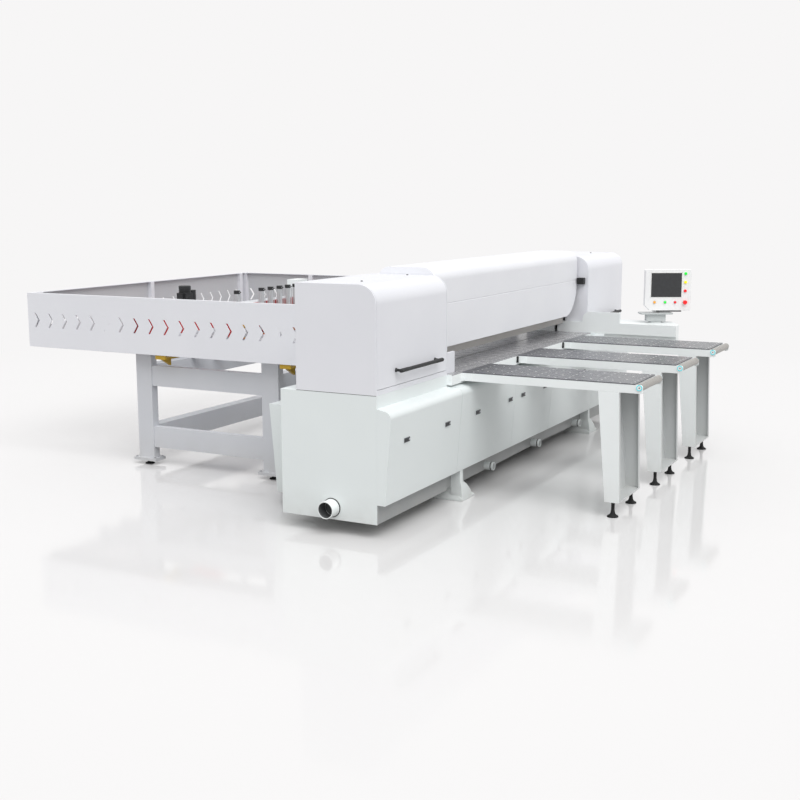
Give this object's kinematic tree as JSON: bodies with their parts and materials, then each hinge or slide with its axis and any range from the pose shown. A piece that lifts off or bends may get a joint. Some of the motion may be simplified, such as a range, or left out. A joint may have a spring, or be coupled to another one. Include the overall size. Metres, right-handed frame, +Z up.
{
  "type": "beam panel saw for acrylic sheet",
  "caption": "Floor-standing rear-feed beam saw that cuts acrylic sheet and boards, with hooded ends, air tables, a guarded feed frame and a control pendant.",
  "frame": {"origin": "on the floor under the middle of the machine's outer box", "axes": "+Z up, +Y from the operator's tables through the saw to the rear feed frame, +X along the beam from the near hood (with the dust outlet) to the far hood and its control pendant"},
  "size_m": [5.24, 5.32, 1.707],
  "materials": {
    "body_white": "satin",
    "hood_white": "satin",
    "bed_grey": "satin",
    "frame_grey": "satin",
    "dark_grey": "satin",
    "steel": "satin",
    "roller_grey": "matte",
    "screen": "gloss",
    "button_red": "gloss",
    "gripper_red": "gloss"
  },
  "bodies": {
    "machine": {"near_cabinet": "body_white", "far_cabinet": "body_white", "base_frame": "body_white", "bed_front": "bed_grey", "bed_rear": "bed_grey", "near_hood": "hood_white", "far_hood": "hood_white", "near_beam_lift": "steel", "far_beam_lift": "steel", "side_fence": "body_white", "console_arm": "body_white", "table_1_frame": "body_white", "table_1_top": "bed_grey", "table_1_leg": "body_white", "table_2_frame": "body_white", "table_2_top": "bed_grey", "table_2_leg": "body_white", "table_3_frame": "body_white", "table_3_top": "bed_grey", "table_3_leg": "body_white", "rear_frame_near": "frame_grey", "rear_frame_far": "frame_grey", "support_slats": "frame_grey", "rear_guard_near": "hood_white", "rear_guard_far": "hood_white", "rear_guard_back": "hood_white"},
    "near_door": {"near_door": "hood_white", "near_door_handle": "dark_grey"},
    "far_door": {"far_door": "hood_white", "far_door_handle": "dark_grey"},
    "front_cover_1": {"front_cover_1": "body_white"},
    "front_cover_2": {"front_cover_2": "body_white"},
    "front_cover_3": {"front_cover_3": "body_white"},
    "front_cover_4": {"front_cover_4": "body_white"},
    "front_cover_5": {"front_cover_5": "body_white"},
    "pressure_beam": {"beam_cover": "hood_white", "front_presser": "frame_grey", "rear_presser": "frame_grey"},
    "saw_carriage": {"saw_carriage": "dark_grey"},
    "saw_head": {"saw_head": "dark_grey"},
    "main_blade": {"main_blade": "steel"},
    "scoring_head": {"scoring_head": "dark_grey"},
    "scoring_blade": {"scoring_blade": "steel"},
    "roller_1": {"table_1_roller": "roller_grey"},
    "roller_2": {"table_2_roller": "roller_grey"},
    "roller_3": {"table_3_roller": "roller_grey"},
    "pusher": {"pusher_beam": "frame_grey", "gripper_row": "gripper_red"},
    "gripper_jaw_1": {"gripper_jaw_1": "dark_grey"},
    "gripper_jaw_2": {"gripper_jaw_2": "dark_grey"},
    "gripper_jaw_3": {"gripper_jaw_3": "dark_grey"},
    "gripper_jaw_4": {"gripper_jaw_4": "dark_grey"},
    "gripper_jaw_5": {"gripper_jaw_5": "dark_grey"},
    "gripper_jaw_6": {"gripper_jaw_6": "dark_grey"},
    "pendant": {"pendant_housing": "body_white", "pendant_screen": "screen"},
    "push_button_1": {"push_button_1": "button_red"},
    "push_button_2": {"push_button_2": "button_red"},
    "push_button_3": {"push_button_3": "button_red"},
    "stop_button": {"stop_button": "button_red"}
  },
  "joints": [
    {"name": "near_door_hinge", "type": "hinge", "parent": "machine", "child": "near_door", "pos_m": [-2.0065, -1.032, 1.654], "axis": [-1, 0, 0], "range_deg": [0, 75]},
    {"name": "far_door_hinge", "type": "hinge", "parent": "machine", "child": "far_door", "pos_m": [2.0965, -1.032, 1.654], "axis": [-1, 0, 0], "range_deg": [0, 75]},
    {"name": "front_cover_1_hinge", "type": "hinge", "parent": "machine", "child": "front_cover_1", "pos_m": [-1.9854, -1.341, 0.231], "axis": [1, 0, 0], "range_deg": [0, 85]},
    {"name": "front_cover_2_hinge", "type": "hinge", "parent": "machine", "child": "front_cover_2", "pos_m": [-0.9283, -1.341, 0.231], "axis": [1, 0, 0], "range_deg": [0, 85]},
    {"name": "front_cover_3_hinge", "type": "hinge", "parent": "machine", "child": "front_cover_3", "pos_m": [0.0006, -1.341, 0.231], "axis": [1, 0, 0], "range_deg": [0, 85]},
    {"name": "front_cover_4_hinge", "type": "hinge", "parent": "machine", "child": "front_cover_4", "pos_m": [0.9739, -1.341, 0.231], "axis": [1, 0, 0], "range_deg": [0, 85]},
    {"name": "front_cover_5_hinge", "type": "hinge", "parent": "machine", "child": "front_cover_5", "pos_m": [2.0754, -1.341, 0.231], "axis": [1, 0, 0], "range_deg": [0, 85]},
    {"name": "pressure_beam_drop", "type": "slide", "parent": "machine", "child": "pressure_beam", "axis": [0, 0, 1], "range_m": [-0.079, 0]},
    {"name": "saw_travel", "type": "slide", "parent": "machine", "child": "saw_carriage", "axis": [1, 0, 0], "range_m": [0, 3.6]},
    {"name": "main_blade_rise", "type": "slide", "parent": "saw_carriage", "child": "saw_head", "axis": [0, 0, 1], "range_m": [0, 0.14]},
    {"name": "main_blade_spin", "type": "hinge", "parent": "saw_head", "child": "main_blade", "pos_m": [-2.055, -0.982, 0.7], "axis": [0, 1, 0], "continuous": true},
    {"name": "scoring_blade_rise", "type": "slide", "parent": "saw_carriage", "child": "scoring_head", "axis": [0, 0, 1], "range_m": [0, 0.053]},
    {"name": "scoring_blade_spin", "type": "hinge", "parent": "scoring_head", "child": "scoring_blade", "pos_m": [-1.735, -0.982, 0.82], "axis": [0, 1, 0], "continuous": true},
    {"name": "roller_1_spin", "type": "hinge", "parent": "machine", "child": "roller_1", "pos_m": [-1.057, -2.634, 0.924], "axis": [1, 0, 0], "continuous": true},
    {"name": "roller_2_spin", "type": "hinge", "parent": "machine", "child": "roller_2", "pos_m": [0.004, -2.634, 0.924], "axis": [1, 0, 0], "continuous": true},
    {"name": "roller_3_spin", "type": "hinge", "parent": "machine", "child": "roller_3", "pos_m": [1.065, -2.634, 0.924], "axis": [1, 0, 0], "continuous": true},
    {"name": "pusher_feed", "type": "slide", "parent": "machine", "child": "pusher", "axis": [0, 1, 0], "range_m": [-1.95, 0.9]},
    {"name": "jaw_1_close", "type": "slide", "parent": "pusher", "child": "gripper_jaw_1", "axis": [0, 0, -1], "range_m": [0, 0.0895]},
    {"name": "jaw_2_close", "type": "slide", "parent": "pusher", "child": "gripper_jaw_2", "axis": [0, 0, -1], "range_m": [0, 0.0895]},
    {"name": "jaw_3_close", "type": "slide", "parent": "pusher", "child": "gripper_jaw_3", "axis": [0, 0, -1], "range_m": [0, 0.0895]},
    {"name": "jaw_4_close", "type": "slide", "parent": "pusher", "child": "gripper_jaw_4", "axis": [0, 0, -1], "range_m": [0, 0.0895]},
    {"name": "jaw_5_close", "type": "slide", "parent": "pusher", "child": "gripper_jaw_5", "axis": [0, 0, -1], "range_m": [0, 0.0895]},
    {"name": "jaw_6_close", "type": "slide", "parent": "pusher", "child": "gripper_jaw_6", "axis": [0, 0, -1], "range_m": [0, 0.0895]},
    {"name": "pendant_turn", "type": "hinge", "parent": "machine", "child": "pendant", "pos_m": [1.805, -1.862, 1.05], "axis": [0, 0, 1], "range_deg": [-60, 60]},
    {"name": "push_button_1_press", "type": "slide", "parent": "pendant", "child": "push_button_1", "axis": [0.8854, 0.4648, 0], "range_m": [0, 0.005], "stiffness_N_per_m": 400},
    {"name": "push_button_2_press", "type": "slide", "parent": "pendant", "child": "push_button_2", "axis": [0.8854, 0.4648, 0], "range_m": [0, 0.005], "stiffness_N_per_m": 400},
    {"name": "push_button_3_press", "type": "slide", "parent": "pendant", "child": "push_button_3", "axis": [0.8854, 0.4648, 0], "range_m": [0, 0.005], "stiffness_N_per_m": 400},
    {"name": "stop_button_press", "type": "slide", "parent": "pendant", "child": "stop_button", "axis": [0.8854, 0.4648, 0], "range_m": [0, 0.006], "stiffness_N_per_m": 900}
  ],
  "couplings": [
    {"joint": "jaw_2_close", "follows": "jaw_1_close", "ratio": 1},
    {"joint": "jaw_3_close", "follows": "jaw_1_close", "ratio": 1},
    {"joint": "jaw_4_close", "follows": "jaw_1_close", "ratio": 1},
    {"joint": "jaw_5_close", "follows": "jaw_1_close", "ratio": 1},
    {"joint": "jaw_6_close", "follows": "jaw_1_close", "ratio": 1}
  ]
}
